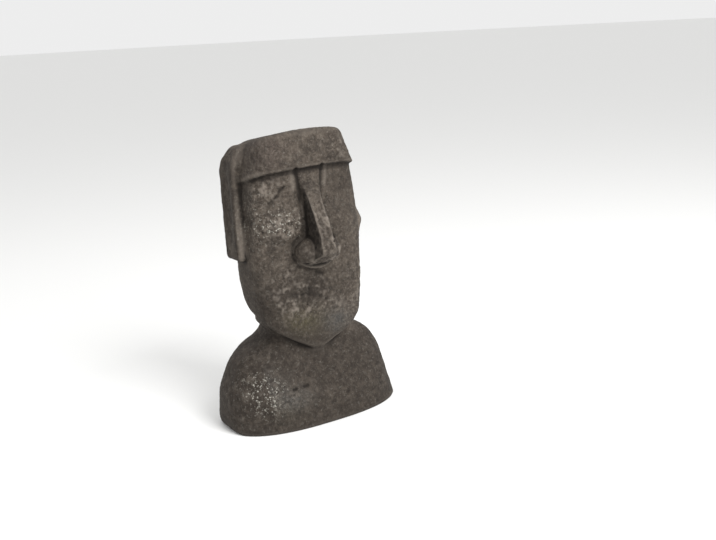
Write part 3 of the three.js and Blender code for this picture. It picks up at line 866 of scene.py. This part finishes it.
def grained(tree, where, grain, colour):
    """Dark and pale grain on coarse stone, then rubbing and painted highlights, pale specks and last the
    wash with its painted shade.
    """
    coarse = spread(tree, read_mark(tree, "coarse"), start=-0.45, end=0.8)
    dark_grain = product(tree, spread(tree, grain, start=0.50, end=0.38), coarse)
    lit = spread(tree, read_mark(tree, "shade"), start=0.8, end=0.1)
    pale_grain = product(tree, product(tree, spread(tree, grain, start=0.53, end=0.72), coarse), lit)
    colour = blended(tree, dark_grain, colour, DARK_PASTE_AND_SHADE)
    colour = blended(tree, pale_grain, colour, RUBBED_AND_HIGHLIGHT)
    # Rubbing, and painted highlights on the ears' front rims and the gutters' lips.
    colour = blended(tree, scaled(tree, read_mark(tree, "rubbed_and_highlight"), 0.82), colour, RUBBED_AND_HIGHLIGHT)
    specks = spread(tree, cloud(tree, where, 250, detail=4.0, roughness=0.85), start=0.56, end=0.65)
    speckled = spread(tree, read_mark(tree, "speckled"), start=-0.08, end=0.75)
    colour = blended(tree, product(tree, specks, speckled), colour, PALE_GRAIN)
    # The wash mark lays both the dark wash and the painted shade and shadow.
    return blended(tree, read_mark(tree, "wash_and_shade"), colour, WASH_AND_SHADE_COLOUR)


def cast_stone():
    """The grained paste as a matt stone, with the same grain as roughness and as a fine bump."""
    material = bpy.data.materials.new("cast_stone")
    material.use_nodes = True
    tree = material.node_tree
    shader = tree.nodes["Principled BSDF"]
    where = node(tree, "ShaderNodeTexCoord").outputs["Object"]
    grain = cloud(tree, where, 270, detail=5.0, roughness=0.75)
    colour = grained(tree, where, grain, mottled_paste(tree, where))
    tree.links.new(colour, shader.inputs["Base Color"])
    shader.inputs["Specular IOR Level"].default_value = 0.25
    tree.links.new(spread(tree, grain, start=-1.2, end=0.9), shader.inputs["Roughness"])
    bump = node(tree, "ShaderNodeBump", Strength=0.9, Distance=0.0014)
    tree.links.new(grain, bump.inputs["Height"])
    tree.links.new(bump.outputs["Normal"], shader.inputs["Normal"])
    return material


mesh.materials.append(cast_stone())
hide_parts("moai_bust")
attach(bust, "root")
print("stone:", len(bust.data.materials[0].node_tree.nodes), "nodes")

# %% [markdown]
# ## Floor, light and camera
# A plain pale floor under a pale sky, a broad soft key light from the statue's front and above, a
# fainter one from high on its right, and a camera that stands to its right and a little above it.

# %% The floor
FLOOR_RADIUS, FLOOR_SIDES = 30, 96
PAPER = (0.86, 0.86, 0.85, 1)
PAPER_ROUGHNESS = 0.9


def disc(radius, steps):
    """Points at equal angles on a circle, radius times cosine and sine, as one level face."""
    turn = 2 * np.pi * np.arange(steps) / steps
    return np.stack([radius * np.cos(turn), radius * np.sin(turn), 0 * turn], -1)


floor_mesh = bpy.data.meshes.new("floor")
rim = disc(FLOOR_RADIUS, FLOOR_SIDES)
floor_mesh.from_pydata(rim, [], [list(range(len(rim)))])
floor = bpy.data.objects.new("floor", floor_mesh)
bpy.context.scene.collection.objects.link(floor)
paper = bpy.data.materials.new("pale_paper")
paper.use_nodes = True
paper_shader = paper.node_tree.nodes["Principled BSDF"]
paper_shader.inputs["Base Color"].default_value = PAPER
paper_shader.inputs["Roughness"].default_value = PAPER_ROUGHNESS
floor_mesh.materials.append(paper)
print("floor: %d m across" % (2 * FLOOR_RADIUS))

# %% The light
SKY = (1.0, 1.0, 1.0, 1)
SKY_STRENGTH = 0.85
STATUE_MIDDLE = Vector((0, 0, 0.22))

world = bpy.data.worlds.new("pale_sky")
bpy.context.scene.world = world
world.use_nodes = True
world.node_tree.nodes["Background"].inputs["Color"].default_value = SKY
world.node_tree.nodes["Background"].inputs["Strength"].default_value = SKY_STRENGTH


def seen_from(azimuth, elevation):
    """The direction from the statue to a place at these angles, in radians, round it and above it."""
    return Vector((math.sin(azimuth) * math.cos(elevation), -math.cos(azimuth) * math.cos(elevation),
                   math.sin(elevation)))


def soft_light(name, azimuth, elevation, distance, size, power):
    """A square light at an angle round the statue, facing its middle."""
    lamp = bpy.data.lights.new(name, "AREA")
    lamp.size = size
    lamp.energy = power
    made = bpy.data.objects.new(name, lamp)
    away = seen_from(math.radians(azimuth), math.radians(elevation))
    made.location = STATUE_MIDDLE + away * distance
    made.rotation_euler = away.to_track_quat("Z", "Y").to_euler()
    bpy.context.scene.collection.objects.link(made)


soft_light("key_light", azimuth=14, elevation=38, distance=2.0, size=1.1, power=41)
soft_light("top_light", azimuth=-60, elevation=70, distance=2.2, size=1.2, power=8)
print("lights:", [light.name for light in bpy.data.lights])

# %% The camera
# The focal length and AIM_LEFT are in the same unit as the frame's width; distance and AIM are mould mm.
CAMERA = Sizes(azimuth=-28.0, elevation=14.6, roll=4.0, distance=1336.4, focal=950.0)
FRAME_WIDTH = 716.0
SENSOR_WIDTH = 36.0
AIM = (0, 0, 204.6)
AIM_LEFT = 58.5


def camera_turn(azimuth, elevation, roll, aim_left, focal):
    """Where the camera stands and its axes: looking back along that direction, rolled, then panned
    to put its aim to the left."""
    a, e = math.radians(azimuth), math.radians(elevation)
    back = seen_from(a, e)
    right = Vector((math.cos(a), math.sin(a), 0))
    up = back.cross(right)
    level = Matrix((right, up, back)).transposed()
    rolled = level @ Matrix.Rotation(math.radians(-roll), 3, "Z")
    pan = -math.atan2(aim_left, focal)
    return back, rolled @ Matrix.Rotation(pan, 3, "Y")


target = Vector(in_solid(np.array(AIM, float)))
distance = CAMERA.distance * float(STRETCH.mean())
back, turned = camera_turn(CAMERA.azimuth, CAMERA.elevation, CAMERA.roll, AIM_LEFT, CAMERA.focal)
lens = bpy.data.cameras.new("camera")
lens.sensor_width = SENSOR_WIDTH
lens.lens = SENSOR_WIDTH * CAMERA.focal / FRAME_WIDTH
camera = bpy.data.objects.new("camera", lens)
camera.matrix_world = Matrix.Translation(target + back * distance) @ turned.to_4x4()
bpy.context.scene.collection.objects.link(camera)
bpy.context.scene.camera = camera
bpy.context.scene.view_settings.view_transform = "Standard"
print("camera at", [round(v, 3) for v in camera.location])
